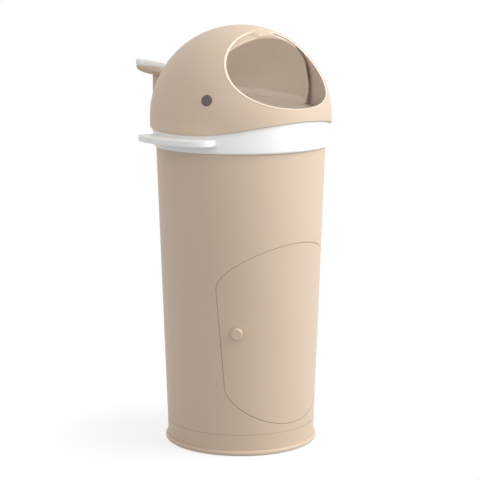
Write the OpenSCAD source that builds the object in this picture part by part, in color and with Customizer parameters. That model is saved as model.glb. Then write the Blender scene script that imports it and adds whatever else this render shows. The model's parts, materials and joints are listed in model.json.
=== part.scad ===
// Nappy bin: a conical bin body with a bag door, a lift-off collar with two side fins, and a dome
// whose scoop turns with the lever at the back. Millimetres, +Z up, the front looks towards -Y,
// and the origin is the middle of the base's underside.

/* [Bin body] */
// Radius of the body's slope line at the floor
body_foot_r = 108.7; // [100:0.1:112]
// How much wider the body is at the collar than at the floor
body_flare = 15.4; // [12:0.1:18]
// Height of the collar's lower edge
collar_z = 440.5; // [400:0.5:480]
// Wall thickness of the body, the door and the base
body_wall = 2.6; // [2:0.1:3.4]
// How far the body's rim reaches up inside the collar
rim_reach = 4; // [3:0.5:5]

/* [Base] */
// Radius of the foot flange
foot_r = 113; // [110:0.5:120]
// Height of the foot flange
foot_h = 7; // [5:0.5:10]
// Height of the seam between base and body
base_h = 31; // [24:1:40]
// How far the base plugs up into the body
base_plug = 12; // [8:1:16]
// Thickness of the base's floor
base_floor = 3; // [2.5:0.5:4]
// Number of base screws
screw_count = 4; // [4:1:6]
// Distance of the base screws from the middle
screw_ring_r = 94; // [88:1:97]
// Radius of a screw's shank
screw_r = 1.8; // [1.5:0.1:2.2]

/* [Door] */
// Height of the middle of the door's top arch
door_top_z = 247; // [230:1:260]
// Half width of the top arch
door_top_w = 102.5; // [95:0.5:104]
// Rise of the top arch
door_top_rise = 62.5; // [50:0.5:80]
// Height of the middle of the door's bottom arch
door_low_z = 105; // [95:1:120]
// Half width of the bottom arch
door_low_w = 92.5; // [85:0.5:95]
// Drop of the bottom arch
door_low_drop = 63; // [40:0.5:64]
// Gap round the door, seen from the front
door_gap = 0.6; // [0.4:0.1:1]
// Width of the ledge behind the door's edge
door_ledge = 5; // [4:0.5:7]
// Radius of the hinge barrels
barrel_r = 2.8; // [2.4:0.1:3.2]
// Radius of the hinge pin
door_pin_r = 1; // [0.8:0.1:1.2]
// Radius of the door knob
knob_r = 8.5; // [7:0.5:11]
// How far the knob stands out
knob_h = 7; // [5:0.5:12]
// Height of the knob
knob_z = 182.5; // [170:0.5:200]
// Distance of the knob from the middle line
knob_x = 82.6; // [70:0.1:84]

/* [Collar] */
// Outer radius of the collar
collar_r = 129; // [128.5:0.5:130]
// Wall thickness of the collar
collar_wall = 3; // [2.5:0.5:3.5]
// Height of the collar from its lower edge to its top
collar_h = 47.5; // [45:0.5:50]
// Thickness of the bag seal
seal_h = 2; // [1.5:0.5:3]
// Outer radius of the side fins
fin_r = 163; // [155:1:175]
// Height of the fins' underside above the collar's lower edge
fin_z = 13; // [10:0.5:14]
// Thickness of the fins
fin_h = 8; // [6:0.5:9]
// Thickness of the fins' skin and rim
fin_wall = 2.6; // [2:0.1:3.2]

/* [Dome] */
// Outer radius of the dome
dome_r = 133; // [132.5:0.5:136]
// Wall thickness of the dome
dome_wall = 2.8; // [2:0.1:3]
// Height of the dome's centre above the collar's lower edge
dome_rise = 41.8; // [40:0.1:43]
// How far the dome's wall runs down below its centre at the sides and the back
dome_skirt = 19; // [17:0.5:20]
// How much the dome's lower edge rises at the front
dome_arch = 21; // [10:1:24]
// Radius of the round cut that makes the mouth
mouth_r = 163; // [150:1:170]
// Height of the mouth's lower lip above the dome's centre
lip_z = 18.5; // [12:0.5:24]
// Radius of the eyes
eye_r = 8; // [6:0.5:10]
// Turn of each eye from the front
eye_turn = 64.7; // [55:0.1:72]
// Height of the eyes as an angle seen from the dome's centre
eye_rise = 14.5; // [12:0.5:25]

/* [Scoop] */
// Gap between the dome's inside and the scoop
scoop_gap = 4.8; // [4.5:0.1:6]
// Wall thickness of the scoop
scoop_wall = 2.4; // [2:0.1:3]
// Forward lean of the scoop's rim
rim_lean = 20; // [15:1:22]
// Distance of the rim's plane in front of the pivots
rim_off = 11; // [10:0.5:14]
// Depth of the rim's band, counted inwards
rim_depth = 5; // [3.5:0.5:6]
// Dish radius of the tray
tray_dish_r = 285; // [270:5:320]
// Height of the tray's edge above the pivots
tray_z = 13; // [12.5:0.5:16]
// Height of the tray's rounded edge
tray_cove = 9; // [6:0.5:12]
// Thickness of the tray
tray_t = 2.4; // [2:0.1:3]
// Radius of the pivot pins
pivot_r = 4; // [3:0.5:5]
// How far the scoop turns
scoop_travel = 56; // [30:1:56]

/* [Tail] */
// Width of the tail's neck
neck_w = 10; // [8:0.5:12]
// Distance of the fluke's rear edge from the middle
tail_reach = 182; // [176:1:190]
// Width of the strut under the fluke
strut_w = 36; // [26:1:40]
// Thickness of the strut
strut_t = 12; // [8:1:14]
// Half span of the fluke
fluke_span = 52; // [45:1:60]
// Height of the fluke's middle above the pivots
fluke_z = 59.5; // [54:0.5:66]
// Height that the fluke's tips rise above its middle
fluke_tip_rise = 9.5; // [6:0.5:12]
// Thickness of the fluke's plate
fluke_t = 10; // [7:0.5:11]
// How far the fluke's belly reaches down below its plate
belly_drop = 7; // [4:0.5:10]

/* [Fits] */
// Clearance between fixed pieces that fit into each other
fit_gap = 0.2; // [0.15:0.05:0.3]
// Running clearance of a pin in its bore
run_gap = 0.05; // [0.03:0.01:0.08]
// Clearance between pieces that move past each other
move_gap = 0.4; // [0.3:0.1:0.6]

/* [Hidden] */
$fn = 96;
eps = 0.01;

beige = [0.80, 0.70, 0.62];
pale_beige = [0.87, 0.79, 0.71];
white = [0.96, 0.96, 0.95];
steel = [0.70, 0.71, 0.72];
dark = [0.25, 0.24, 0.24];

// Heights that follow from the collar's place
rim_z = collar_z + rim_reach;
ledge_z = rim_z + seal_h;
ledge_t = 3;
dome_z = collar_z + dome_rise;
dome_in_r = dome_r - dome_wall;
scoop_r = dome_in_r - scoop_gap;
scoop_in_r = scoop_r - scoop_wall;

// The body's outer radius at a height
function body_r(z) = body_foot_r + body_flare * z / collar_z;

// ---------- general helpers ----------

// Turns the children from the front towards +X
module turned(a) {
  rotate([0, 0, a]) children();
}

// Points a child's Z axis outwards at the front
module facing_front() {
  rotate([90, 0, 0]) children();
}

// A solid cone frustum that follows the body's slope, moved in by a wall
module body_cone(z0, z1, inset) {
  translate([0, 0, z0])
    cylinder(h = z1 - z0, r1 = body_r(z0) - inset, r2 = body_r(z1) - inset);
}

module tube(h, r_out, r_in) {
  difference() {
    cylinder(h = h, r = r_out);
    translate([0, 0, -1]) cylinder(h = h + 2, r = r_in);
  }
}

// A pan-head screw with its head's underside at the origin and its shank along +Z
module screw(r, length) {
  head_r = 1.9 * r;
  head_h = 1.2 * r;
  translate([0, 0, -head_h]) cylinder(h = head_h, r = head_r);
  cylinder(h = length, r = r);
}

// ---------- base ----------

screw_pad_r = 8;
screw_pad_h = 2.5;
boss_r = 4.6;
screw_len = 14;
ring_groove_r = 101;
ring_w = 7;
ring_h = 1.8;

module at_base_screws() {
  for (i = [0 : screw_count - 1])
    turned(30 + (i % 2) * 120 + floor(i / 2) * 180) translate([screw_ring_r, 0, 0]) children();
}

// The foot flange has a rounded edge, the wall above it follows the body's slope, and the plug inside
// the body is notched for the door's ledge
module base_pan() {
  edge = 3;
  plug_z = base_h + base_plug;
  color(beige) difference() {
    union() {
      rotate_extrude() {
        square([foot_r - edge, foot_h]);
        translate([0, edge]) square([foot_r, foot_h - 2 * edge]);
        translate([foot_r - edge, edge]) circle(r = edge);
        translate([foot_r - edge, foot_h - edge]) circle(r = edge);
      }
      body_cone(foot_h - 1, base_h, 0);
      body_cone(base_h - eps, plug_z, body_wall + fit_gap);
    }
    body_cone(base_floor, plug_z + 1, 2 * body_wall + fit_gap);
    door_prism(-door_ledge - move_gap);
    translate([0, 0, -1]) tube(ring_h + 1, ring_groove_r + ring_w / 2, ring_groove_r - ring_w / 2);
    at_base_screws() translate([0, 0, -1]) cylinder(h = 20, r = screw_r + fit_gap);
    at_base_screws() translate([0, 0, -1]) cylinder(h = screw_pad_h + 1, r = 2.4 * screw_r);
  }
  color(beige) difference() {
    at_base_screws() translate([0, 0, base_floor - eps]) cylinder(h = screw_pad_h, r = screw_pad_r);
    at_base_screws() translate([0, 0, -1]) cylinder(h = 20, r = screw_r + fit_gap);
    at_base_screws() translate([0, 0, -1]) cylinder(h = screw_pad_h + 1, r = 2.4 * screw_r);
  }
}

module anti_slip_ring() {
  color(dark)
    tube(ring_h - fit_gap, ring_groove_r + ring_w / 2 - fit_gap, ring_groove_r - ring_w / 2 + fit_gap);
}

module base_screws() {
  color(steel) at_base_screws() translate([0, 0, screw_pad_h]) screw(screw_r, screw_len);
}

// ---------- body and door ----------

// Half width per height of the door's straight sides
door_slope = (door_top_w - door_low_w) / (door_top_z - door_low_z);
door_steps = 14;

// One half of the door's outline, from the top apex down to the lowest point
function half_outline(inset) =
  let (tw = door_top_w - inset, th = door_top_rise - inset,
       lw = door_low_w - inset, lh = door_low_drop - inset,
       t1 = atan(-door_slope * th / tw), t2 = atan(-door_slope * lh / lw))
  concat(
    [for (i = [0 : door_steps]) let (t = 90 + (t1 - 90) * i / door_steps)
      [tw * cos(t), door_top_z + th * sin(t)]],
    [for (i = [0 : door_steps]) let (t = t2 + (-90 - t2) * i / door_steps)
      [lw * cos(t), door_low_z + lh * sin(t)]]);

function flipped(points) = [for (i = [len(points) - 2 : -1 : 1]) [-points[i][0], points[i][1]]];

// A prism of the door's outline that runs from the middle out through the front
module door_prism(inset) {
  half = half_outline(inset);
  facing_front() linear_extrude(height = foot_r + 60) polygon(concat(half, flipped(half)));
}

// A shell that follows the body's slope between two depths, over the door's height
module door_shell(depth0, depth1) {
  z0 = door_low_z - door_low_drop - 10;
  z1 = door_top_z + door_top_rise + 10;
  difference() {
    body_cone(z0, z1, depth0);
    body_cone(z0 - 1, z1 + 1, depth1);
  }
}

// The hinge line runs in the gap at the door's straight side, on the body's surface
function edge_x(z) = door_low_w - door_gap / 2 + door_slope * (z - door_low_z);
function edge_point(z) = [edge_x(z), -sqrt(pow(body_r(z), 2) - pow(edge_x(z), 2)), z];
hinge_a = edge_point(door_low_z);
hinge_b = edge_point(door_top_z);
hinge_v = hinge_b - hinge_a;
hinge_len = norm(hinge_v);

module on_hinge() {
  translate(hinge_a)
    rotate([0, acos(hinge_v[2] / hinge_len), atan2(hinge_v[1], hinge_v[0])]) children();
}

// Each of the two hinges has a door barrel between two body barrels
hinge_at = [42, 112];
barrel_l = 10;
door_barrel_l = 14;
hinge_half = door_barrel_l / 2 + move_gap + barrel_l;

module body_barrels(r) {
  on_hinge() for (s = hinge_at) for (side = [-1, 1])
    translate([0, 0, s + side * (hinge_half - barrel_l / 2) - barrel_l / 2]) cylinder(h = barrel_l, r = r);
}

module door_barrels(r, extra) {
  on_hinge() for (s = hinge_at)
    translate([0, 0, s - door_barrel_l / 2 - extra]) cylinder(h = door_barrel_l + 2 * extra, r = r);
}

module hinge_bore() {
  on_hinge() for (s = hinge_at)
    translate([0, 0, s - hinge_half - 1]) cylinder(h = 2 * hinge_half + 2, r = door_pin_r + run_gap);
}

// Room that the body's barrels need in the door's edge
module body_barrel_room() {
  on_hinge() for (s = hinge_at) for (side = [-1, 1])
    translate([0, 0, s + side * (hinge_half - barrel_l / 2) - barrel_l / 2 - move_gap])
      cylinder(h = barrel_l + 2 * move_gap, r = barrel_r + move_gap);
}

hinge_side_gap = 0.15;

// The same outline cut square to the hinge's side, so that the door's edge there swings clear
module hinge_prism(inset) {
  mid = (hinge_a + hinge_b) / 2;
  side = atan2(mid[0], -mid[1]);
  far = 3 * foot_r;
  half = [for (p = half_outline(inset))
    [p[0] * cos(side) - sqrt(pow(body_r(p[1]), 2) - pow(p[0], 2)) * sin(side), p[1]]];
  turned(side) facing_front() translate([0, 0, -far / 2]) linear_extrude(height = far)
    polygon(concat(half, [[-far, half[len(half) - 1][1]], [-far, half[0][1]]]));
}

// The catch sits by the door's free side, above the knob
knob_turn = -asin(knob_x / body_r(knob_z));
catch_z = knob_z + 21;
catch_turn = -asin((edge_x(catch_z) - 10) / body_r(catch_z));
catch_r = body_r(catch_z) - body_wall;
catch_h = 24;
catch_w = 8;
plate_t = 1;
magnet_t = 5;

module at_catch() {
  turned(catch_turn) translate([0, -catch_r, catch_z]) rotate([atan(body_flare / collar_z), 0, 0])
    children();
}

boss_rise = 14;
boss_top = base_h + base_plug + boss_rise;

module body_tube() {
  color(beige) difference() {
    union() {
      difference() {
        body_cone(base_h, rim_z, 0);
        body_cone(base_h - 1, rim_z + 1, body_wall);
        door_prism(0);
      }
      // ledge behind the door's edge
      difference() {
        intersection() {
          door_shell(body_wall - 0.6, 2 * body_wall + 0.6);
          door_prism(-door_ledge);
        }
        door_prism(door_ledge + 1);
        intersection() {
          door_shell(-1, body_wall + move_gap);
          door_prism(0);
        }
      }
      body_barrels(barrel_r);
      catch_bracket();
      screw_bosses();
    }
    door_barrels(barrel_r + move_gap, move_gap);
    hinge_bore();
    at_base_screws() translate([0, 0, -1]) cylinder(h = screw_len + 6, r = screw_r + run_gap);
  }
}

// A bracket on the ledge that holds the magnet behind the door's free side
module catch_bracket() {
  depth = plate_t + 2 * move_gap + magnet_t + fit_gap;
  reach = 40;
  intersection() {
    at_catch() translate([-reach, depth, -catch_h / 2 - 2]) cube([reach + catch_w / 2, 2.4, catch_h + 4]);
    body_cone(catch_z - catch_h, catch_z + catch_h, body_wall / 2);
  }
}

// Bosses for the base screws stand down through the base's plug, each held by a web
module screw_bosses() {
  boss_z = base_floor + screw_pad_h + fit_gap;
  web_t = 2.4;
  at_base_screws() translate([0, 0, boss_z]) cylinder(h = boss_top - boss_z, r = boss_r);
  intersection() {
    at_base_screws() translate([0, -web_t / 2, base_h + base_plug + 1])
      cube([40, web_t, boss_top - base_h - base_plug - 1]);
    body_cone(base_h, boss_top + 1, body_wall / 2);
  }
}

module door_panel() {
  rib_h = 5;
  color(beige) difference() {
    union() {
      intersection() {
        door_shell(0, body_wall);
        door_prism(door_gap);
        hinge_prism(door_gap + hinge_side_gap);
      }
      // stiffening rib inside the ledge's edge
      difference() {
        intersection() {
          door_shell(body_wall - 0.5, body_wall + rib_h);
          door_prism(door_ledge + 4);
        }
        door_prism(door_ledge + 6);
        at_catch() translate([-20, -2, -catch_h / 2 - 4]) cube([40, 30, catch_h + 8]);
      }
      door_barrels(barrel_r, 0);
    }
    body_barrel_room();
    hinge_bore();
    turned(knob_turn) translate([0, -body_r(knob_z) - 1, knob_z]) rotate([-90, 0, 0])
      cylinder(h = 10, r = screw_r + fit_gap);
  }
}

module door_hinge_pin() {
  color(steel) on_hinge() for (s = hinge_at)
    translate([0, 0, s - hinge_half]) cylinder(h = 2 * hinge_half, r = door_pin_r);
}

// A flat round pull with a chamfered face, hollowed at the back to sit on the door
module door_knob() {
  face_chamfer = 1.6;
  color(beige) difference() {
    turned(knob_turn) translate([0, -body_r(knob_z) + 2, knob_z]) facing_front() {
      cylinder(h = knob_h + 2 - face_chamfer, r = knob_r);
      translate([0, 0, knob_h + 2 - face_chamfer])
        cylinder(h = face_chamfer, r1 = knob_r, r2 = knob_r - face_chamfer);
    }
    body_cone(knob_z - 40, knob_z + 40, -fit_gap / 2);
    turned(knob_turn) translate([0, -body_r(knob_z) + 1, knob_z]) facing_front()
      cylinder(h = knob_h - 1, r = screw_r + run_gap);
  }
}

module knob_screw() {
  color(steel) turned(knob_turn)
    translate([0, -body_r(knob_z) + body_wall + fit_gap, knob_z]) facing_front()
      screw(screw_r, knob_h);
}

module catch_magnet() {
  color(dark) at_catch() translate([-catch_w / 2, plate_t + 2 * move_gap, -catch_h / 2])
    cube([catch_w, magnet_t, catch_h]);
}

module catch_plate() {
  color(steel) at_catch() translate([-catch_w / 2, move_gap, -catch_h / 2])
    cube([catch_w, plate_t, catch_h]);
}

// ---------- collar ----------

notch_w = 24;
// The ledge stays clear of the scoop's ball
ledge_in_r = sqrt(pow(scoop_r + 1, 2) - pow(dome_z - ledge_z - ledge_t, 2));

// Outline of one fin, from the blunt front end to the rear tip, by turn from the front
fin_front = 58.5;
fin_rear = 112;
fin_front_ease = 10;
fin_rear_ease = 7;

function fin_edge(a, wall) =
  let (front = min(1, (a - fin_front) / fin_front_ease), rear = min(1, (fin_rear - a) / fin_rear_ease),
       ease = sqrt(1 - pow(1 - front, 2)) * (0.72 + 0.28 * rear))
  collar_r + (fin_r - wall - collar_r) * (0.42 + 0.58 * ease);

module fin_plan(wall) {
  steps = 28;
  in_r = collar_r - 1 + wall;
  a0 = fin_front + wall * 0.5;
  a1 = fin_rear - wall * 0.5;
  polygon(concat(
    [for (i = [0 : steps]) let (a = a0 + (a1 - a0) * i / steps, r = fin_edge(a, wall))
      [r * sin(a), -r * cos(a)]],
    [for (i = [steps : -4 : 0]) let (a = a0 + (a1 - a0) * i / steps) [in_r * sin(a), -in_r * cos(a)]]));
}

module fin() {
  difference() {
    translate([0, 0, collar_z + fin_z]) linear_extrude(height = fin_h) fin_plan(0);
    translate([0, 0, collar_z + fin_z - 1]) linear_extrude(height = fin_h - fin_wall + 1) fin_plan(fin_wall);
  }
}

// Snap lugs stand where the dome's lower edge is level, clear of the pivots
lug_turns = [74, 115, 155];
lug_z = 31;
lug_w = 16;
lug_h = 4;

module at_lugs() {
  for (side = [-1, 1]) for (a = lug_turns) turned(side * a) children();
}

module collar() {
  edge = 3.5;
  color(white) difference() {
    union() {
      translate([0, 0, collar_z]) difference() {
        rotate_extrude() {
          translate([0, edge]) square([collar_r, collar_h - edge]);
          square([collar_r - edge, edge + 1]);
          translate([collar_r - edge, edge]) circle(r = edge);
        }
        translate([0, 0, rim_reach + seal_h + ledge_t]) cylinder(h = collar_h, r = collar_r - collar_wall);
        translate([0, 0, -1]) cylinder(h = collar_h + 2, r = ledge_in_r);
        translate([0, 0, -1]) cylinder(h = rim_reach + seal_h + 1, r = body_r(rim_z) + move_gap);
      }
      fin();
      mirror([1, 0, 0]) fin();
      // spacers under the dome's lower wall
      at_lugs() intersection() {
        translate([-lug_w / 2 - 4, -dome_in_r - 5, skirt_z + turn_in_h + 1.5])
          cube([lug_w + 8, 20, 12]);
        translate([0, 0, collar_z]) tube(collar_h, dome_in_r - fit_gap, collar_r - 1);
      }
    }
    at_lugs() translate([-lug_w / 2 - fit_gap, -dome_r, collar_z + lug_z - fit_gap])
      cube([lug_w + 2 * fit_gap, dome_r - collar_r + 1.5, lug_h + 2 * fit_gap]);
    for (side = [-1, 1]) translate([side * collar_r - 20, -notch_w / 2, dome_z - notch_w / 2])
      cube([40, notch_w, collar_h]);
  }
}

module bag_seal() {
  color(dark) translate([0, 0, rim_z]) tube(seal_h, body_r(rim_z), ledge_in_r);
}

// ---------- dome ----------

// The mouth is a round cut along X that passes through the lower lip; its centre is [y, z]
mouth_low = [-sqrt(pow(dome_r, 2) - pow(lip_z, 2)), dome_z + lip_z];
mouth_slant = 66.4;
mouth_c = [mouth_low[0] - mouth_r * cos(mouth_slant), mouth_low[1] + mouth_r * sin(mouth_slant)];

// Turn of the mouth's upper lip about the pivots, counted up from the rear horizontal
mouth_d = norm([mouth_c[0], mouth_c[1] - dome_z]);
mouth_dir = atan2(mouth_c[1] - dome_z, mouth_c[0]);
lip_r = dome_in_r - 1.5;
lip_turn = mouth_dir - acos((pow(mouth_d, 2) + pow(lip_r, 2) - pow(mouth_r, 2)) / (2 * mouth_d * lip_r));

slot_w = neck_w + 4;
slot_low = 2;
neck_low = 4;
neck_high = 11;
slot_high = neck_high + scoop_travel + 2;

// Upper half of a ball on a short cylinder
module dome_form(r, z0) {
  translate([0, 0, dome_z]) intersection() {
    sphere(r = r);
    cylinder(h = r + 1, r = r + 1);
  }
  translate([0, 0, z0]) cylinder(h = dome_z - z0 + eps, r = r);
}

// The outer form turns in at its lower edge, down to a close fit round the collar
edge_turn_r = 8;
turn_in_h = 3;
skirt_z = dome_z - dome_skirt;

module dome_outside() {
  dome_form(dome_r, skirt_z + edge_turn_r);
  translate([0, 0, skirt_z]) rotate_extrude() {
    square([dome_r - edge_turn_r, edge_turn_r + 1]);
    translate([dome_r - edge_turn_r, edge_turn_r]) intersection() {
      circle(r = edge_turn_r);
      translate([-edge_turn_r, -edge_turn_r]) square([2 * edge_turn_r, edge_turn_r + 1]);
    }
  }
}

module dome_inside() {
  dome_form(dome_in_r, skirt_z + turn_in_h);
  translate([0, 0, skirt_z - 1]) cylinder(h = turn_in_h + 2, r = collar_r + move_gap);
}

// The lower edge is level at the sides and the back, and arches up towards the front
module dome_edge_cut() {
  arch_r = (pow(dome_r, 2) + pow(dome_arch, 2)) / (2 * dome_arch);
  difference() {
    translate([-dome_r - 1, -dome_r - 1, skirt_z - 1]) cube([2 * dome_r + 2, dome_r + 1, dome_arch + 2]);
    translate([-dome_r - 2, 0, skirt_z + arch_r]) rotate([0, 90, 0])
      cylinder(h = 2 * dome_r + 4, r = arch_r, $fn = 360);
  }
}

module at_eye(side) {
  translate([0, 0, dome_z]) turned(side * eye_turn) rotate([-eye_rise, 0, 0])
    translate([0, -dome_r, 0]) facing_front() children();
}

// A sector of the median plane, used for slots and stops: angles count up from the rear horizontal
module median_sector(a0, a1, r0, r1, w) {
  steps = 12;
  translate([w / 2, 0, dome_z]) rotate([0, -90, 0]) linear_extrude(height = w)
    polygon(concat(
      [for (i = [0 : steps]) let (a = a0 + (a1 - a0) * i / steps) [r1 * sin(a), r1 * cos(a)]],
      [for (i = [steps : -1 : 0]) let (a = a0 + (a1 - a0) * i / steps) [r0 * sin(a), r0 * cos(a)]]));
}

pivot_boss_r = 9;
eye_seat = 1.3;

module dome() {
  color(beige) difference() {
    union() {
      difference() {
        dome_outside();
        dome_inside();
        dome_edge_cut();
      }
      // bosses that hold the pivot pins
      intersection() {
        for (side = [-1, 1]) translate([side * (scoop_r + 1.5), 0, dome_z]) rotate([0, side * 90, 0])
          cylinder(h = 10, r = pivot_boss_r);
        dome_form(dome_r - 1, skirt_z);
      }
      // lugs that snap into the collar
      at_lugs() intersection() {
        translate([-lug_w / 2, -dome_in_r - 1, collar_z + lug_z]) cube([lug_w, 20, lug_h]);
        translate([0, 0, collar_z]) tube(collar_h + 10, dome_in_r + 1, collar_r - 1.2);
      }
    }
    translate([-dome_r - 1, mouth_c[0], mouth_c[1]]) rotate([0, 90, 0])
      cylinder(h = 2 * dome_r + 2, r = mouth_r, $fn = 180);
    median_sector(slot_low, slot_high, dome_in_r - 3, dome_r + 3, slot_w);
    for (side = [-1, 1]) at_eye(side) translate([0, 0, -eye_seat]) cylinder(h = 20, r = eye_r + fit_gap);
    for (side = [-1, 1]) translate([side * (dome_r - 14), 0, dome_z]) rotate([0, side * 90, 0])
      cylinder(h = 14 - 1.5, r = pivot_r + run_gap);
  }
}

// An eye is a domed button that is glued into a shallow seat
module eye(side) {
  cap = 0.9;
  curve_r = 34;
  color(dark) at_eye(side) intersection() {
    translate([0, 0, -eye_seat]) cylinder(h = eye_seat + cap, r = eye_r);
    translate([0, 0, cap - curve_r]) sphere(r = curve_r);
  }
}

module eye_left() {
  eye(-1);
}

module eye_right() {
  eye(1);
}

module pivot_pin(side) {
  color(steel) translate([side * (scoop_r - 10), 0, dome_z]) rotate([0, side * 90, 0])
    cylinder(h = dome_r - 1.5 - scoop_r + 10 - fit_gap, r = pivot_r);
}

module pivot_pin_left() {
  pivot_pin(-1);
}

module pivot_pin_right() {
  pivot_pin(1);
}

// ---------- scoop ----------

bush_wall = 1.6;
bush_lip = 2;
hub_r = 9;
hub_l = 8.5;
hub_x = scoop_r - 1.5 - hub_l;
// The tray leans: its rear edge is higher than its front edge
tray_lean = 7.5;
// Distance of the pivots from the rim's plane, and the highest turn that the rim reaches
rim_d = rim_off * cos(rim_lean);
rim_turn = 90 + rim_lean + asin(rim_d / scoop_r);
rim_band_t = 3;
tray_r = sqrt(pow(scoop_in_r, 2) - pow(tray_z, 2)) - fit_gap;
tray_seat = 5;
peg_r = 3.8;
peg_h = 3.4;
// The seat's outer radius lies inside the shell's wall
seat_r = (sqrt(pow(scoop_in_r, 2) - pow(tray_z - tray_t - tray_seat, 2))
          + sqrt(pow(scoop_r, 2) - pow(tray_z, 2))) / 2 + 0.2;
shell_low = -2;
shell_high = 183;
tab_w = 33;

module in_scoop() {
  translate([0, 0, dome_z]) children();
}

// A wedge of a ball shell that turns about the pivots' line, which is X here
module ball_wedge(r_out, r_in, a0, a1) {
  rotate([a0, 0, 0]) rotate([0, 90, 0]) rotate([0, 0, 90]) rotate_extrude(angle = a1 - a0) intersection() {
    difference() {
      circle(r = r_out);
      circle(r = r_in);
    }
    translate([0, -r_out - 1]) square([r_out + 1, 2 * r_out + 2]);
  }
}

// Everything in front of the rim's plane
module rim_front() {
  rotate([rim_lean, 0, 0]) translate([-scoop_r - 5, -rim_d - 2 * scoop_r, -scoop_r - 20])
    cube([2 * scoop_r + 10, 2 * scoop_r, 2 * scoop_r + 40]);
}

// The band that stiffens the rim stands inwards from the middle of the wall
module rim_band(extra) {
  mid_r = (scoop_r + scoop_in_r) / 2;
  rotate([rim_lean, 0, 0]) translate([0, -rim_d - extra, 0]) rotate([-90, 0, 0])
    tube(rim_band_t + 2 * extra, sqrt(pow(mid_r, 2) - pow(rim_d, 2)),
         sqrt(pow(scoop_r - rim_depth, 2) - pow(rim_d, 2)) - extra);
}

// The tab on the rim comes up flush to the mouth's upper lip, and closes on its lower lip
module rim_tab() {
  a0 = lip_turn + 0.25;
  top_r = dome_r - 0.5;
  steps = 10;
  intersection() {
    translate([tab_w / 2, 0, 0]) rotate([0, -90, 0]) linear_extrude(height = tab_w)
      polygon(concat(
        [for (i = [0 : steps]) let (a = a0 + (rim_turn - a0) * i / steps,
             r = top_r - (top_r - scoop_r) * pow(i / steps, 1.5)) [r * sin(a), r * cos(a)]],
        [for (i = [steps : -1 : 0]) let (a = a0 + (rim_turn - a0) * i / steps)
          [(scoop_in_r + 1) * sin(a), (scoop_in_r + 1) * cos(a)]]));
    sphere(r = top_r);
  }
  translate([0, 0, -dome_z])
    median_sector(lip_turn - 18, rim_turn - 2, scoop_in_r + 1, scoop_r + 2, tab_w);
}

module scoop_shell() {
  color(beige) in_scoop() difference() {
    union() {
      difference() {
        ball_wedge(scoop_r, scoop_in_r, shell_low, shell_high);
        rim_front();
      }
      difference() {
        rim_band(0);
        rotate([tray_lean, 0, 0]) translate([-scoop_r, -scoop_r, -scoop_r])
          cube([2 * scoop_r, 2 * scoop_r, scoop_r + tray_z - tray_t - tray_seat / 2]);
      }
      rotate([tray_lean, 0, 0]) translate([0, 0, tray_z - tray_t - tray_seat])
        tube(tray_seat, seat_r, tray_r - 12);
      for (side = [-1, 1]) translate([side * hub_x, 0, 0]) rotate([0, side * 90, 0])
        cylinder(h = hub_l, r = hub_r);
      rim_tab();
    }
    for (side = [-1, 1]) translate([side * (hub_x - 2), 0, 0]) rotate([0, side * 90, 0])
      cylinder(h = hub_l + 10, r = pivot_r + bush_wall + run_gap);
    for (side = [-1, 1]) translate([side * (hub_x - 8), 0, 0]) rotate([0, side * 90, 0])
      cylinder(h = 8, r = pivot_r + bush_wall + bush_lip + fit_gap);
    at_tail_screws() cylinder(h = 30, r = screw_r + fit_gap);
    at_tray_pegs() translate([0, 0, -tray_seat - 1]) cylinder(h = tray_seat + 2, r = screw_r + fit_gap);
    at_tray_pegs() translate([0, 0, -peg_h - fit_gap]) cylinder(h = peg_h + 1, r = peg_r + fit_gap);
  }
}

// Pegs under the tray's rim stand in the seat, and screws from below hold them
module at_tray_pegs() {
  rotate([tray_lean, 0, 0])
    for (i = [0 : 3]) turned(45 + 90 * i) translate([tray_r - 6.5, 0, tray_z - tray_t]) children();
}

// The cove fits the scoop's ball on its outside and is left 0.8 mm thick at its upper edge
module tray_edge() {
  top_z = tray_z + tray_cove;
  cove_x = sqrt(pow(scoop_in_r - fit_gap, 2) - pow(top_z, 2)) - 0.8 - tray_cove;
  rotate_extrude() difference() {
    intersection() {
      circle(r = scoop_in_r - fit_gap);
      translate([cove_x, tray_z - tray_t / 2]) square([40, tray_cove + tray_t / 2]);
    }
    translate([cove_x, top_z]) circle(r = tray_cove);
  }
}

// A shallow dished tray whose edge turns up in a cove behind the scoop's rim
module scoop_tray() {
  dish_rim = tray_r - 12.5;
  drop = tray_dish_r - sqrt(pow(tray_dish_r, 2) - pow(dish_rim, 2));
  color(pale_beige) in_scoop() difference() {
    union() {
      rotate([tray_lean, 0, 0]) translate([0, 0, tray_z]) difference() {
        union() {
          translate([0, 0, -tray_t]) cylinder(h = tray_t, r = tray_r - 1);
          intersection() {
            translate([0, 0, -drop - tray_t - 1]) cylinder(h = drop + tray_t + 1 - eps, r = dish_rim - 0.5);
            translate([0, 0, tray_dish_r - drop]) sphere(r = tray_dish_r + tray_t, $fn = 180);
          }
        }
        translate([0, 0, tray_dish_r - drop]) sphere(r = tray_dish_r, $fn = 180);
      }
      difference() {
        rotate([tray_lean, 0, 0]) tray_edge();
        rim_front();
      }
      at_tray_pegs() translate([0, 0, -peg_h]) cylinder(h = peg_h + 1, r = peg_r);
    }
    rim_band(fit_gap);
    at_tray_pegs() translate([0, 0, -peg_h - 1]) cylinder(h = peg_h + 2, r = screw_r + run_gap);
  }
}

module tray_screws() {
  color(steel) in_scoop() at_tray_pegs() translate([0, 0, -tray_seat - fit_gap]) screw(screw_r, 5);
}

module pivot_bushes() {
  head_h = 1.4;
  reach_in = bush_wall;
  color(white) in_scoop() for (side = [-1, 1])
    translate([side * (hub_x - reach_in), 0, 0]) rotate([0, side * 90, 0]) difference() {
      union() {
        cylinder(h = hub_l + reach_in, r = pivot_r + bush_wall);
        cylinder(h = head_h, r = pivot_r + bush_wall + bush_lip);
      }
      translate([0, 0, -1]) cylinder(h = hub_l + 6, r = pivot_r + run_gap);
    }
}

// ---------- tail ----------

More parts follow.
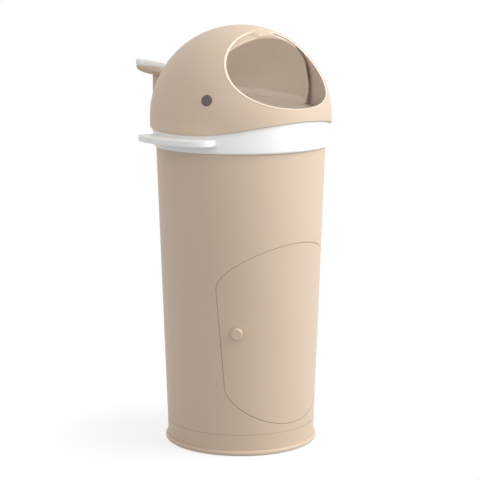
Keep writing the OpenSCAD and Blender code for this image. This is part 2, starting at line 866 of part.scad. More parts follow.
neck_mid = (neck_low + neck_high) / 2;
tail_foot_t = scoop_gap - 1.2;

module at_tail_screws() {
  for (x = [-10, 10]) rotate([neck_mid, 0, 0]) translate([x, scoop_in_r - 1, 0]) rotate([-90, 0, 0])
    children();
}

// The fluke's plate is bowed about an axis along Y, and its belly is a shallow ball form
fluke_root_y = tail_reach - 40;
belly_y = tail_reach - 20;
bow_r = (pow(fluke_span, 2) + pow(fluke_tip_rise, 2)) / (2 * fluke_tip_rise);
belly_h = fluke_tip_rise + belly_drop;
belly_r = (pow(fluke_span, 2) + pow(belly_h, 2)) / (2 * belly_h);
joint_inset = 6;
joint_half_w = fluke_span - 20;
joint_h = 3;

// Half outline of the fluke: the swept leading edge, the round tip and the notched trailing edge
function fluke_lead(s) = fluke_root_y + 34 * pow(s, 2);
function fluke_trail(s) = tail_reach - 3 * pow(1 - s, 2) - 4 * pow(s, 6);

function fluke_half(inset) =
  let (n = 14, span = fluke_span - inset)
  concat(
    [for (i = [0 : n]) let (s = sin(90 * i / n)) [s * span, fluke_lead(s) + inset]],
    [for (i = [n : -1 : 0]) let (s = sin(90 * i / n))
      [s * span, max(fluke_trail(s) - inset, fluke_lead(s) + inset + 0.6)]]);

// A prism of the fluke's outline, from a height below its middle to above its tips
module fluke_prism(inset, below) {
  half = fluke_half(inset);
  translate([0, 0, fluke_z - below]) linear_extrude(height = below + fluke_tip_rise + fluke_t + 5)
    polygon(concat(half, flipped(half)));
}

// The block that joins plate and belly, short of the narrow tips
module fluke_joint(gap) {
  intersection() {
    fluke_prism(joint_inset - gap, 3);
    translate([-joint_half_w - gap, 0, 0]) cube([2 * (joint_half_w + gap), tail_reach, 2 * fluke_z]);
    difference() {
      bow(1);
      bow(-joint_h - gap);
    }
  }
}

// A cylinder along Y whose lower side is the bow, moved out by some depth
module bow(depth) {
  translate([0, 0, fluke_z + bow_r]) rotate([-90, 0, 0]) cylinder(h = tail_reach + 20, r = bow_r + depth);
}

// The arm leaves the scoop through the dome's slot, turns up and carries the fluke
module tail_arm() {
  foot_w = 30;
  foot_h = 20;
  bore_l = 12;
  foot_z = collar_h - dome_rise + 1.5;
  rear_y = tail_reach - 4;
  neck_z0 = dome_r * sin(neck_low);
  neck_z1 = dome_r * sin(neck_high);
  color(beige) in_scoop() difference() {
    union() {
      difference() {
        intersection() {
          sphere(r = scoop_r + tail_foot_t);
          translate([-foot_w / 2, scoop_r - 30, foot_z]) cube([foot_w, 60, foot_h]);
        }
        sphere(r = scoop_r + fit_gap / 2);
      }
      translate([0, 0, -dome_z]) median_sector(neck_low, neck_high, scoop_r + 1, dome_r + 6, neck_w);
      translate([-neck_w / 2, dome_r + 2, neck_z0])
        cube([neck_w, rear_y - dome_r - 3, neck_z1 - neck_z0]);
      translate([0, rear_y, 0]) rotate([90, 0, 0]) linear_extrude(height = strut_t)
        polygon([[neck_w / 2 + 2, neck_z0], [strut_w / 2, neck_z1], [strut_w / 2, fluke_z - 2],
                 [-strut_w / 2, fluke_z - 2], [-strut_w / 2, neck_z1], [-neck_w / 2 - 2, neck_z0]]);
      difference() {
        intersection() {
          fluke_prism(0.6, belly_drop + 1);
          translate([0, belly_y, fluke_z - belly_drop + belly_r]) sphere(r = belly_r);
        }
        bow(fit_gap / 2);
      }
      fluke_joint(0);
    }
    at_tail_screws() translate([0, 0, 2]) cylinder(h = bore_l, r = screw_r + run_gap);
  }
}

module fluke_plate() {
  color(white) in_scoop() difference() {
    intersection() {
      fluke_prism(0, 2);
      difference() {
        bow(0);
        bow(-fluke_t);
      }
    }
    fluke_joint(fit_gap);
  }
}

module tail_screws() {
  color(steel) in_scoop() at_tail_screws() screw(screw_r, scoop_wall + tail_foot_t);
}

base_pan();
anti_slip_ring();
base_screws();
body_tube();
door_panel();
door_hinge_pin();
door_knob();
knob_screw();
catch_magnet();
catch_plate();
collar();
bag_seal();
dome();
eye_left();
eye_right();
pivot_pin_left();
pivot_pin_right();
pivot_bushes();
scoop_shell();
scoop_tray();
tray_screws();
tail_arm();
fluke_plate();
tail_screws();
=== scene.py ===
import json
import math

import bpy
from mathutils import Matrix, Vector


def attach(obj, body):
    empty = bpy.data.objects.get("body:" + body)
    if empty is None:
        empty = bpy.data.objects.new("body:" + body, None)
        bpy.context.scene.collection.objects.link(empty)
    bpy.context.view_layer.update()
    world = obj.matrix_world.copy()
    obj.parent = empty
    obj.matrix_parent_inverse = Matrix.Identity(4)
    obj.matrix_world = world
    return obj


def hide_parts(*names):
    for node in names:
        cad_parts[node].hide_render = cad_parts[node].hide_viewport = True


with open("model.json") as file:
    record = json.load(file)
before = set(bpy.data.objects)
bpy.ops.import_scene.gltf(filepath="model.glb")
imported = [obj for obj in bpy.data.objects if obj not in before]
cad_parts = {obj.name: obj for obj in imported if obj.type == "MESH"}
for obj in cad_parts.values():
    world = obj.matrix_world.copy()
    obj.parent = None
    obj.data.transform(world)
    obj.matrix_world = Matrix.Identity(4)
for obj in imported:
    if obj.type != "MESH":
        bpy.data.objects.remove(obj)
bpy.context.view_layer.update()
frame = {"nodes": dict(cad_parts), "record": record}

MM = 0.001
nodes = frame["nodes"]


# ---------- colours and nodes ----------

def linear(hex_colour):
    """A hex colour as Blender's linear values."""
    parts = [int(hex_colour[i:i + 2], 16) / 255 for i in (1, 3, 5)]
    return (*(c / 12.92 if c <= 0.04045 else ((c + 0.055) / 1.055) ** 2.4 for c in parts), 1.0)


def add_node(tree, kind, settings=(), links=()):
    """Adds one node, sets its sockets and properties, and links its inputs."""
    made = tree.nodes.new(kind)
    for name, value in dict(settings).items():
        if name in made.inputs:
            made.inputs[name].default_value = value
        else:
            setattr(made, name, value)
    for name, source in dict(links).items():
        tree.links.new(source, made.inputs[name])
    return made


def new_material(name):
    """An empty material with its output; returns the material, its tree and its output."""
    material = bpy.data.materials.new(name)
    material.use_nodes = True
    tree = material.node_tree
    tree.nodes.clear()
    return material, tree, tree.nodes.new("ShaderNodeOutputMaterial")


FLOW_CLOUD_MM = 90
GLOSS_SPREAD = 0.04
ZINC_CRYSTAL_MM = 3


def moulded_plastic(name, colour, tone, roughness, grain_mm, grain_depth_mm,
                    sheen_ior=1.49, painted_light_inside=None):
    """Injection-moulded plastic: nearly even colour, with the tool's fine spark-eroded grain.

    tone is the second colour, which clouds the first very faintly, as flow in the mould does.
    grain_mm is drawn coarser than the real grain, which is too fine to show.
    The last argument is painted light on a ball shell's inside: the paler colour that lifts the
    shade there, the ball's middle height and its radius in mm.
    """
    material, tree, output = new_material(name)
    place = add_node(tree, "ShaderNodeTexCoord").outputs["Object"]
    cloud = add_node(tree, "ShaderNodeTexNoise",
                     {"Scale": 1 / (FLOW_CLOUD_MM * MM), "Detail": 2.0, "Roughness": 0.5},
                     {"Vector": place})
    tint = add_node(tree, "ShaderNodeMixRGB", {"Color1": linear(colour), "Color2": linear(tone)},
                    {"Fac": cloud.outputs["Fac"]})
    # painted light: inside the ball the colour turns paler, lifting the shade of the hollow
    if painted_light_inside:
        painted_light_colour, middle_z, ball_r = painted_light_inside
        offset = add_node(tree, "ShaderNodeVectorMath", {"operation": "SUBTRACT"}, {0: place})
        offset.inputs[1].default_value = (0, 0, middle_z * MM)
        reach = add_node(tree, "ShaderNodeVectorMath", {"operation": "LENGTH"},
                         {0: offset.outputs["Vector"]})
        inside = add_node(tree, "ShaderNodeMath", {"operation": "LESS_THAN"},
                          {0: reach.outputs["Value"]})
        inside.inputs[1].default_value = ball_r * MM
        tint = add_node(tree, "ShaderNodeMixRGB", {"Color2": linear(painted_light_colour)},
                        {"Fac": inside.outputs["Value"], "Color1": tint.outputs["Color"]})
    grain = add_node(tree, "ShaderNodeTexNoise",
                     {"Scale": 1 / (grain_mm * MM), "Detail": 3.0, "Roughness": 0.6},
                     {"Vector": place})
    gloss = add_node(tree, "ShaderNodeMapRange",
                     {"From Min": 0.3, "From Max": 0.7,
                      "To Min": roughness - GLOSS_SPREAD, "To Max": roughness + GLOSS_SPREAD},
                     {"Value": grain.outputs["Fac"]})
    relief = add_node(tree, "ShaderNodeBump", {"Strength": 0.5, "Distance": grain_depth_mm * MM},
                      {"Height": grain.outputs["Fac"]})
    shader = add_node(tree, "ShaderNodeBsdfPrincipled", {"IOR": sheen_ior},
                      {"Base Color": tint.outputs["Color"], "Roughness": gloss.outputs["Result"],
                       "Normal": relief.outputs["Normal"]})
    tree.links.new(shader.outputs["BSDF"], output.inputs["Surface"])
    return material


def zinc_steel(name):
    """Zinc-plated steel: a dull grey metal with a faint crystalline cloud."""
    material, tree, output = new_material(name)
    place = add_node(tree, "ShaderNodeTexCoord").outputs["Object"]
    cloud = add_node(tree, "ShaderNodeTexNoise",
                     {"Scale": 1 / (ZINC_CRYSTAL_MM * MM), "Detail": 3.0}, {"Vector": place})
    tint = add_node(tree, "ShaderNodeMixRGB",
                    {"Color1": linear("#A9ABAD"), "Color2": linear("#C6C8CA")},
                    {"Fac": cloud.outputs["Fac"]})
    gloss = add_node(tree, "ShaderNodeMapRange", {"To Min": 0.28, "To Max": 0.42},
                     {"Value": cloud.outputs["Fac"]})
    shader = add_node(tree, "ShaderNodeBsdfPrincipled", {"Metallic": 1.0},
                      {"Base Color": tint.outputs["Color"], "Roughness": gloss.outputs["Result"]})
    tree.links.new(shader.outputs["BSDF"], output.inputs["Surface"])
    return material


# The dome is a ball shell, and the scoop turns about the same middle inside it
DOME_Z = 482.3
DOME_R = 133.0
# Inside this radius the dome is painted paler: painted light on its inside
DOME_PAINTED_LIGHT_R = 131.4

BEIGE, BEIGE_CLOUD = "#D6C1AC", "#D3BDA7"
# Painted light: the paler colour on the shells' insides, which lifts the shade inside the mouth
PAINTED_LIGHT_PALE = "#EDE2D7"
SATIN = 0.46
PP_GRAIN_MM, PP_GRAIN_DEPTH_MM = 0.7, 0.02

# Moulded polypropylene from a spark-eroded tool: satin, with a broad soft highlight
beige = moulded_plastic("beige_polypropylene", BEIGE, BEIGE_CLOUD, SATIN,
                        PP_GRAIN_MM, PP_GRAIN_DEPTH_MM)
# The dome's beige, painted paler on its inside as painted light
dome_beige_painted_light = moulded_plastic("beige_polypropylene_dome_painted_light", BEIGE, BEIGE_CLOUD, SATIN,
                             PP_GRAIN_MM, PP_GRAIN_DEPTH_MM, painted_light_inside=(PAINTED_LIGHT_PALE, DOME_Z, DOME_PAINTED_LIGHT_R))
# The same plastic painted paler on the shells' insides: painted light that lifts the shade, so the
# inside of the mouth stays readable
painted_light_lining = moulded_plastic("beige_polypropylene_painted_light_inside", PAINTED_LIGHT_PALE, "#EADFD3", SATIN,
                         PP_GRAIN_MM, PP_GRAIN_DEPTH_MM)
# The tray painted pale and even: painted light, standing in for the light that falls on the floor
# inside the mouth
tray_beige = moulded_plastic("pale_polypropylene_painted_light", "#F7EEE6", "#F4EAE1", SATIN,
                             PP_GRAIN_MM, PP_GRAIN_DEPTH_MM)
# Moulded ABS from a polished tool: clean white with a tighter highlight than the beige
white = moulded_plastic("white_abs", "#F6F6F4", "#F4F4F2", 0.34, 0.9, 0.008, sheen_ior=1.53)
# Moulded nylon: a dull grey-brown dot without a glint
eye_dark = moulded_plastic("grey_brown_nylon", "#6A5E5E", "#655959", 0.42, 0.6, 0.015)
# Moulded thermoplastic elastomer: matt, nearly black
rubber = moulded_plastic("black_tpe", "#2B2B2B", "#262626", 0.78, 1.2, 0.05)
# Moulded natural acetal: off-white and slightly waxy
acetal = moulded_plastic("natural_acetal", "#E9E7E0", "#E4E1D9", 0.38, 0.8, 0.01)
# Pressed and sintered ferrite: matt charcoal with a coarse grain
ferrite = moulded_plastic("ferrite_magnet", "#3A3837", "#2F2D2C", 0.62, 0.5, 0.04)
# Zinc-plated steel: a soft grey metal sheen
steel = zinc_steel("zinc_plated_steel")

FINISH = {
    "beige_shell": beige, "tray_beige": tray_beige, "white_shell": white, "eye_dark": eye_dark,
    "rubber": rubber, "steel": steel, "bush": acetal, "magnet": ferrite,
}


def paint(piece, material):
    """Gives a piece one material all over."""
    piece.data.materials.clear()
    piece.data.materials.append(material)


for part in frame["record"]["subparts"]:
    paint(nodes[part["node"]], FINISH[part["material_slot"]])
paint(nodes["dome"], dome_beige_painted_light)


# ---------- modelling helpers ----------

def start_fresh():
    """Leaves edit mode and deselects everything, the CAD nodes included."""
    if bpy.context.object and bpy.context.object.mode != "OBJECT":
        bpy.ops.object.mode_set(mode="OBJECT")
    bpy.ops.object.select_all(action="DESELECT")


def take(piece):
    """Makes one piece the only selected and active one."""
    start_fresh()
    piece.select_set(True)
    bpy.context.view_layer.objects.active = piece


def mesh_piece(name, points, edges=(), faces=()):
    """A new piece from a few points, to be shaped with edit operators."""
    mesh = bpy.data.meshes.new(name)
    mesh.from_pydata([Vector(p) * MM for p in points], edges, faces)
    piece = bpy.data.objects.new(name, mesh)
    bpy.context.scene.collection.objects.link(piece)
    take(piece)
    return piece


def apply_modifier(piece, kind, **settings):
    """Adds a modifier, sets it and applies it."""
    take(piece)
    made = piece.modifiers.new(kind.lower(), kind)
    for key, value in settings.items():
        setattr(made, key, value)
    bpy.ops.object.modifier_apply(modifier=made.name)


# Points closer than this are one point, in a CAD copy and in a new piece
WELD = 0.001 * MM
DOUBLE = 0.005 * MM
LATHE_STEPS = 240
# Faces that meet under this angle are shaded as one smooth face
EDGE_SMOOTH = 35
GRID_SMOOTH = 32


def merged_copy(node, name):
    """A copy of a CAD node with its doubled vertices merged, as the start of a new piece."""
    start_fresh()
    piece = nodes[node].copy()
    piece.data = nodes[node].data.copy()
    piece.name = piece.data.name = name
    bpy.context.scene.collection.objects.link(piece)
    take(piece)
    bpy.ops.object.mode_set(mode="EDIT")
    bpy.ops.mesh.select_all(action="SELECT")
    bpy.ops.mesh.remove_doubles(threshold=WELD)
    bpy.ops.object.mode_set(mode="OBJECT")
    return piece


def cutting_block(size, place):
    """A block of a size in millimetres, put in place by a matrix, that is only used to cut."""
    start_fresh()
    bpy.ops.mesh.primitive_cube_add(size=1, location=(0, 0, 0))
    block = bpy.context.object
    block.data.transform(place @ Matrix.Diagonal((*(Vector(size) * MM), 1)))
    return block


def cut(piece, cutter):
    """Takes a cutter away from a piece, and then removes the cutter."""
    apply_modifier(piece, "BOOLEAN", operation="DIFFERENCE", object=cutter, solver="EXACT")
    bpy.data.objects.remove(cutter)


def clean_up(smooth_deg=EDGE_SMOOTH):
    """Merges doubles, turns all faces outwards and shades the active piece smooth by angle."""
    bpy.ops.object.mode_set(mode="EDIT")
    bpy.ops.mesh.select_all(action="SELECT")
    bpy.ops.mesh.remove_doubles(threshold=DOUBLE)
    bpy.ops.mesh.normals_make_consistent(inside=False)
    bpy.ops.object.mode_set(mode="OBJECT")
    bpy.ops.object.shade_smooth_by_angle(angle=math.radians(smooth_deg))


def dress(piece, body, material, slot, *stands_for):
    """Paints a finished piece, hides what it replaces and rides it on its body."""
    paint(piece, material)
    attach(piece, body)
    if stands_for:
        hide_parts(*stands_for)


def arc(centre_r, centre_z, radius, start, end, steps):
    """Points of a profile's arc, from a start angle to an end angle in degrees."""
    turns = [math.radians(start + (end - start) * i / steps) for i in range(steps + 1)]
    return [(centre_r + radius * math.cos(a), centre_z + radius * math.sin(a)) for a in turns]


def lathe(name, profile):
    """Spins a closed profile of (radius, height) points once round the Z axis."""
    count = len(profile)
    edges = [(i, (i + 1) % count) for i in range(count)]
    piece = mesh_piece(name, [(r, 0, z) for r, z in profile], edges)
    bpy.ops.object.mode_set(mode="EDIT")
    bpy.ops.mesh.select_all(action="SELECT")
    bpy.ops.mesh.spin(steps=LATHE_STEPS, angle=math.radians(360), center=(0, 0, 0), axis=(0, 0, 1))
    clean_up()
    return piece


def grid_piece(name, rows):
    """A closed bar from a row of equal sections, with its two ends filled."""
    wide = len(rows[0])
    faces = []
    for r in range(len(rows) - 1):
        for i in range(wide):
            near, far, step = r * wide, (r + 1) * wide, (i + 1) % wide
            faces.append([near + i, far + i, far + step, near + step])
    last = (len(rows) - 1) * wide
    faces += [list(range(wide)), [last + i for i in reversed(range(wide))]]
    piece = mesh_piece(name, [p for row in rows for p in row], (), faces)
    clean_up(GRID_SMOOTH)
    return piece


def bead(name, points, radius, closed=False):
    """A round moulded edge: a tube swept along points, with flat ends where it is open."""
    curve = bpy.data.curves.new(name, "CURVE")
    curve.dimensions = "3D"
    curve.bevel_depth = radius * MM
    curve.bevel_resolution = 5
    curve.use_fill_caps = not closed
    spline = curve.splines.new("POLY")
    spline.points.add(len(points) - 1)
    for knot, place in zip(spline.points, points):
        knot.co = (*(Vector(place) * MM), 1)
    spline.use_cyclic_u = closed
    piece = bpy.data.objects.new(name, curve)
    bpy.context.scene.collection.objects.link(piece)
    take(piece)
    bpy.ops.object.convert(target="MESH")
    bpy.ops.object.shade_smooth()
    return bpy.context.object


def join(main, *others):
    """Joins other pieces into the main one."""
    start_fresh()
    for piece in others:
        piece.select_set(True)
    main.select_set(True)
    bpy.context.view_layer.objects.active = main
    bpy.ops.object.join()


# ---------- scoop ----------

SCOOP_R = 125.4
SCOOP_IN_R = 123.0
# The rim lies in a plane that leans back; "behind" counts from that plane, and v and x lie in it
RIM_LEAN = 20
RIM_D = 11 * math.cos(math.radians(RIM_LEAN))
# The new rim replaces the wall from the plane to RIM_BACK, and laps what stays of it
RIM_BACK = 64
RIM_STEPS = 220
LAP = 1
WALL_LAP = 0.06
# The rim flares out to the mouth's upper lip: none at the low V, full at the high V
FLARE_R = 129.3
FLARE_IN_R = 126.3
FLARE_LOW_V, FLARE_HIGH_V = 66, 92
FLARE_DEPTH = 30
FLARE_START = 15
# Low at the sides the rim is a thicker band instead
BAND_IN_R = 120.4
BAND_LOW_V, BAND_HIGH_V = 24, 42
BAND_DEPTH = 3
# The stop tab at the rim's top
TAB_R = 132.4
TAB_DEPTH = 13.4
TAB_HALF_W, TAB_RUN_OUT = 13, 24
# Rounded edges, as steps of (inset, depth behind the plane)
EDGE_OUT = ((0.12, 0.5), (0.35, 0.2), (0.8, 0))
EDGE_IN = ((0.8, 0), (0.3, 0.2), (0.1, 0.5))
# Depths behind the plane at which the section gets its points, outside and inside
WALL_DEPTHS = (37, 44, 51, 58, RIM_BACK)
FLARE_OUT_DEPTHS = (FLARE_DEPTH, 27, 24, 21, 18, 15.5, TAB_DEPTH + 0.3)
TAB_DEPTHS = (TAB_DEPTH, 10, 7, 4, 2, 1)
BAND_DEPTHS = (1, 2, BAND_DEPTH)
FLARE_IN_DEPTHS = (3.4, 5, 8, 12, 16, 20, 24, 27, FLARE_DEPTH)
# The block that takes the plain rim away: its width, its height and how far it stands ahead
BLOCK_W, BLOCK_H, BLOCK_AHEAD = 300, 120, 8
# A face whose normal points this much towards the ball's middle is an inside face
INSIDE_FACE = -0.5


def ease(value, low, high):
    """A smooth step from 0 at low to 1 at high."""
    t = min(1, max(0, (value - low) / (high - low)))
    return t * t * (3 - 2 * t)


def rim_point(radius, behind, turn):
    """A point on a ball of a radius, behind the rim's plane, at a turn from the rim's top."""
    depth = RIM_D - behind
    reach = math.sqrt(radius ** 2 - depth ** 2)
    lean = math.radians(RIM_LEAN)
    x, v = reach * math.sin(turn), reach * math.cos(turn)
    return (x, -v * math.sin(lean) - depth * math.cos(lean),
            DOME_Z + v * math.cos(lean) - depth * math.sin(lean))


def rim_section(turn):
    """The rim's section at one turn: the outside from back to front, then the inside back again."""
    v = SCOOP_R * math.cos(turn)
    x = abs(SCOOP_R * math.sin(turn))
    flare = ease(v, FLARE_LOW_V, FLARE_HIGH_V)
    band = 1 - ease(v, BAND_LOW_V, BAND_HIGH_V)
    tab = 1 - ease(x, TAB_HALF_W, TAB_RUN_OUT)
    outer_r, inner_r = SCOOP_R - WALL_LAP, SCOOP_IN_R + WALL_LAP
    points = []
    for behind in WALL_DEPTHS[::-1] + FLARE_OUT_DEPTHS:
        rise = flare * (1 - ease(behind, FLARE_START, FLARE_DEPTH - LAP))
        points.append((outer_r + (FLARE_R - SCOOP_R) * rise, behind))
    top = outer_r + (FLARE_R - SCOOP_R) * flare
    top += (TAB_R - top) * tab
    points += [(top, behind) for behind in TAB_DEPTHS]
    points += [(top - inset, behind) for inset, behind in EDGE_OUT]
    low = inner_r + (FLARE_IN_R - SCOOP_IN_R) * flare - (SCOOP_IN_R - BAND_IN_R) * band
    points += [(low + inset, behind) for inset, behind in EDGE_IN]
    for behind in BAND_DEPTHS + FLARE_IN_DEPTHS + WALL_DEPTHS:
        fall = flare * (FLARE_IN_R - SCOOP_IN_R) * (1 - ease(behind, 0.5, FLARE_DEPTH - LAP))
        if behind <= BAND_DEPTH:
            fall -= band * (SCOOP_IN_R - BAND_IN_R)
        points.append((inner_r + fall, behind))
    return [rim_point(radius, behind, turn) for radius, behind in points]


def add_scoop():
    """The scoop's moulding: its ball wall with a rim that flares out to the mouth's upper lip."""
    shell = merged_copy("scoop_shell", "scoop_moulding")
    # a block takes away the plain front of the ball wall, with the pad that stands proud of it
    depth = RIM_BACK - LAP + BLOCK_AHEAD
    middle = Vector((0, -RIM_D - BLOCK_AHEAD + depth / 2, BAND_LOW_V + BLOCK_H / 2)) * MM
    leaned = (Matrix.Translation((0, 0, DOME_Z * MM))
              @ Matrix.Rotation(math.radians(RIM_LEAN), 4, "X"))
    cut(shell, cutting_block((BLOCK_W, depth, BLOCK_H), leaned @ Matrix.Translation(middle)))
    # the rim's ends reach a little below the cut
    end = math.acos((BAND_LOW_V - 0.5) / SCOOP_R)
    rows = [rim_section(-end + 2 * end * i / RIM_STEPS) for i in range(RIM_STEPS + 1)]
    join(shell, grid_piece("scoop_rim", rows))
    bpy.ops.object.shade_smooth_by_angle(angle=math.radians(GRID_SMOOTH))
    dress(shell, "scoop", beige, "beige_shell", "scoop_shell")
    # the faces that look towards the ball's middle get the paler lining: painted light that lifts
    # their shade
    shell.data.materials.append(painted_light_lining)
    ball_middle = Vector((0, 0, DOME_Z * MM))
    for face in shell.data.polygons:
        if face.normal.dot((face.center - ball_middle).normalized()) < INSIDE_FACE:
            face.material_index = 1


# ---------- dome's edges ----------

# The mouth is cut by a cylinder along X, whose wall meets the dome's front LIP_Z above its middle
MOUTH_R = 163.0
MOUTH_SLANT = 66.4
LIP_Z = 18.5
LIP_SET = 1.0
LIP_BALL_R = 132.0
LIP_BEAD_R = 1.3
LIP_STEPS = 60
# The dome's lower edge arches up at the front, over a turn to each side
SKIRT_Z = DOME_Z - 19
DOME_ARCH = 21.0
DOME_TURN_R = 8.0
DOME_EDGE_R = 1.9
DOME_EDGE_TURN = 70
DOME_EDGE_STEPS = 120


def add_mouth_lip():
    """The mouth's rounded lip runs all round the opening, as a bead on the dome's edge."""
    slant = math.radians(MOUTH_SLANT)
    middle = (-math.sqrt(DOME_R ** 2 - LIP_Z ** 2) - MOUTH_R * math.cos(slant),
              LIP_Z + MOUTH_R * math.sin(slant))
    cut_r = MOUTH_R + LIP_SET
    middle_d = math.hypot(*middle)
    facing = math.atan2(-middle[1], -middle[0])
    # half turn of the cut, seen from its own middle, that lies inside the ball
    limit = math.acos((middle_d ** 2 + cut_r ** 2 - LIP_BALL_R ** 2) / (2 * middle_d * cut_r))
    side = []
    for i in range(LIP_STEPS + 1):
        a = facing + limit * math.sin(math.pi / 2 * (2 * i / LIP_STEPS - 1))
        y, z = middle[0] + cut_r * math.cos(a), middle[1] + cut_r * math.sin(a)
        side.append((math.sqrt(max(0, LIP_BALL_R ** 2 - y * y - z * z)), y, DOME_Z + z))
    path = side + [(-x, y, z) for x, y, z in reversed(side[1:-1])]
    dress(bead("mouth_lip", path, LIP_BEAD_R, closed=True), "head", beige, "beige_shell")


def add_dome_edge():
    """The dome's lower edge is rounded where it arches up over the collar at the front."""
    arch_r = (DOME_R ** 2 + DOME_ARCH ** 2) / (2 * DOME_ARCH)
    path = []
    for i in range(DOME_EDGE_STEPS + 1):
        a = math.radians(DOME_EDGE_TURN * (i / (DOME_EDGE_STEPS / 2) - 1))
        y = -DOME_R * math.cos(a)
        rise = arch_r - math.sqrt(arch_r ** 2 - y ** 2)
        out_r = DOME_R
        if rise < DOME_TURN_R:
            out_r += math.sqrt(DOME_TURN_R ** 2 - (DOME_TURN_R - rise) ** 2) - DOME_TURN_R
        r = out_r - DOME_EDGE_R
        path.append((r * math.sin(a), -r * math.cos(a), SKIRT_Z + rise + 0.5 * DOME_EDGE_R))
    dress(bead("dome_edge", path, DOME_EDGE_R), "head", beige, "beige_shell")


# ---------- collar ----------

COLLAR_Z = 440.5
COLLAR_R = 129.0
COLLAR_H = 47.5
COLLAR_WALL = 3
FOOT_ROUND = 3.5
LIP_ROUND = 0.8
# The ledge over the seal, and the bore that slips over the body
LEDGE_LOW, LEDGE_TOP = 6, 9
LEDGE_IN_R = math.sqrt((SCOOP_R + 1) ** 2 - (DOME_Z - COLLAR_Z - LEDGE_TOP) ** 2)
BORE_R = 124.65
BORE_LEAD_IN = 0.5
# Notches at the sides leave room for the pivots
NOTCH_SIZE = (40, 24, 50)
NOTCH_Z = DOME_Z + 13
# The fins stand out at each side, between these turns from the front in degrees
FIN_R = 163.0
FIN_Z, FIN_H = COLLAR_Z + 13, 8.0
FIN_FRONT, FIN_REAR = 58.5, 112.0
# Its ends ease in over these turns, to these shares of the full reach
FIN_FRONT_EASE, FIN_REAR_EASE = 10, 7
FIN_END_SHARE, FIN_REAR_SHARE = 0.42, 0.72
FIN_STEPS = 48
# How deep the fin's root stands in the ring
FIN_ROOT = 1.5
FIN_CORNER_R, FIN_UNDER_R, FIN_TOP_R = 4.5, 4.2, 2.4
FIN_SMOOTH = 40
BEVEL_STEPS = 6
ON_LEVEL = 0.01


def fin_reach(turn):
    """The fin's outer radius at a turn from the front, in degrees."""
    front = min(1, (turn - FIN_FRONT) / FIN_FRONT_EASE)
    rear = min(1, (FIN_REAR - turn) / FIN_REAR_EASE)
    swell = math.sqrt(1 - (1 - front) ** 2) * (FIN_REAR_SHARE + (1 - FIN_REAR_SHARE) * rear)
    return COLLAR_R + (FIN_R - COLLAR_R) * (FIN_END_SHARE + (1 - FIN_END_SHARE) * swell)


def select_edges(piece, wanted):
    """Selects the edges whose two ends a test accepts, and leaves the piece in edit mode."""
    bpy.ops.object.mode_set(mode="EDIT")
    bpy.ops.mesh.select_mode(type="EDGE")
    bpy.ops.mesh.select_all(action="DESELECT")
    bpy.ops.object.mode_set(mode="OBJECT")
    spots = piece.data.vertices
    for edge in piece.data.edges:
        edge.select = wanted(spots[edge.vertices[0]].co, spots[edge.vertices[1]].co)
    bpy.ops.object.mode_set(mode="EDIT")


def add_fin(name, side):
    """One hand fin: its outline extruded, with a soft upper edge and a fuller round underneath."""
    turns = [FIN_FRONT + (FIN_REAR - FIN_FRONT) * i / FIN_STEPS for i in range(FIN_STEPS + 1)]
    outer = [(fin_reach(t), t) for t in turns]
    inner = [(COLLAR_R - FIN_ROOT, t) for t in reversed(turns[::4])]
    outline = [(side * r * math.sin(math.radians(t)), -r * math.cos(math.radians(t)), FIN_Z)
               for r, t in outer + inner]
    fin = mesh_piece(name, outline, (), [list(range(len(outline)))])
    bpy.ops.object.mode_set(mode="EDIT")
    bpy.ops.mesh.select_all(action="SELECT")
    bpy.ops.mesh.extrude_region_move(TRANSFORM_OT_translate={"value": (0, 0, FIN_H * MM)})
    bpy.ops.mesh.select_all(action="SELECT")
    bpy.ops.mesh.normals_make_consistent(inside=False)
    # the blunt front corner first, then the lower and the upper edge outside the ring
    corner = Vector(outline[0][:2]) * MM
    select_edges(fin, lambda a, b: abs(a.z - b.z) > FIN_H / 2 * MM
                 and (a.xy - corner).length < 0.1 * MM)
    bpy.ops.mesh.bevel(offset=FIN_CORNER_R * MM, segments=BEVEL_STEPS)
    for height, width in ((FIN_Z, FIN_UNDER_R), (FIN_Z + FIN_H, FIN_TOP_R)):
        select_edges(fin, lambda a, b: abs(a.z - height * MM) < ON_LEVEL * MM
                     and abs(b.z - height * MM) < ON_LEVEL * MM
                     and min(a.xy.length, b.xy.length) > (COLLAR_R - 1) * MM)
        bpy.ops.mesh.bevel(offset=width * MM, segments=BEVEL_STEPS, clamp_overlap=True)
    bpy.ops.object.mode_set(mode="OBJECT")
    clean_up(FIN_SMOOTH)
    return fin


def add_collar():
    """The lift-off collar: a ring with a ledge for the seal, side notches and two hand fins."""
    z0, z1 = COLLAR_Z, COLLAR_Z + COLLAR_H
    inner_r = COLLAR_R - COLLAR_WALL
    profile = [(BORE_R, z0 + BORE_LEAD_IN), (BORE_R + BORE_LEAD_IN, z0)]
    profile += arc(COLLAR_R - FOOT_ROUND, z0 + FOOT_ROUND, FOOT_ROUND, -90, 0, 10)
    profile += arc(COLLAR_R - LIP_ROUND, z1 - LIP_ROUND, LIP_ROUND, 0, 90, 3)
    profile += arc(inner_r + LIP_ROUND, z1 - LIP_ROUND, LIP_ROUND, 90, 180, 3)
    profile += [(inner_r, z0 + LEDGE_TOP), (LEDGE_IN_R, z0 + LEDGE_TOP),
                (LEDGE_IN_R, z0 + LEDGE_LOW), (BORE_R, z0 + LEDGE_LOW)]
    ring = lathe("collar_ring", profile)
    for side in (-1, 1):
        middle = Vector((side * COLLAR_R, 0, NOTCH_Z)) * MM
        cut(ring, cutting_block(NOTCH_SIZE, Matrix.Translation(middle)))
    join(ring, add_fin("fin_left", -1), add_fin("fin_right", 1))
    ring.name = ring.data.name = "collar_moulding"
    bpy.ops.object.shade_smooth_by_angle(angle=math.radians(EDGE_SMOOTH))
    dress(ring, "head", white, "white_shell", "collar")


# ---------- base ----------

# The shadow gap where the body stands on the base
SEAM_Z = 31.0
SEAM_H = 0.4
SEAM_DEPTH = 0.7
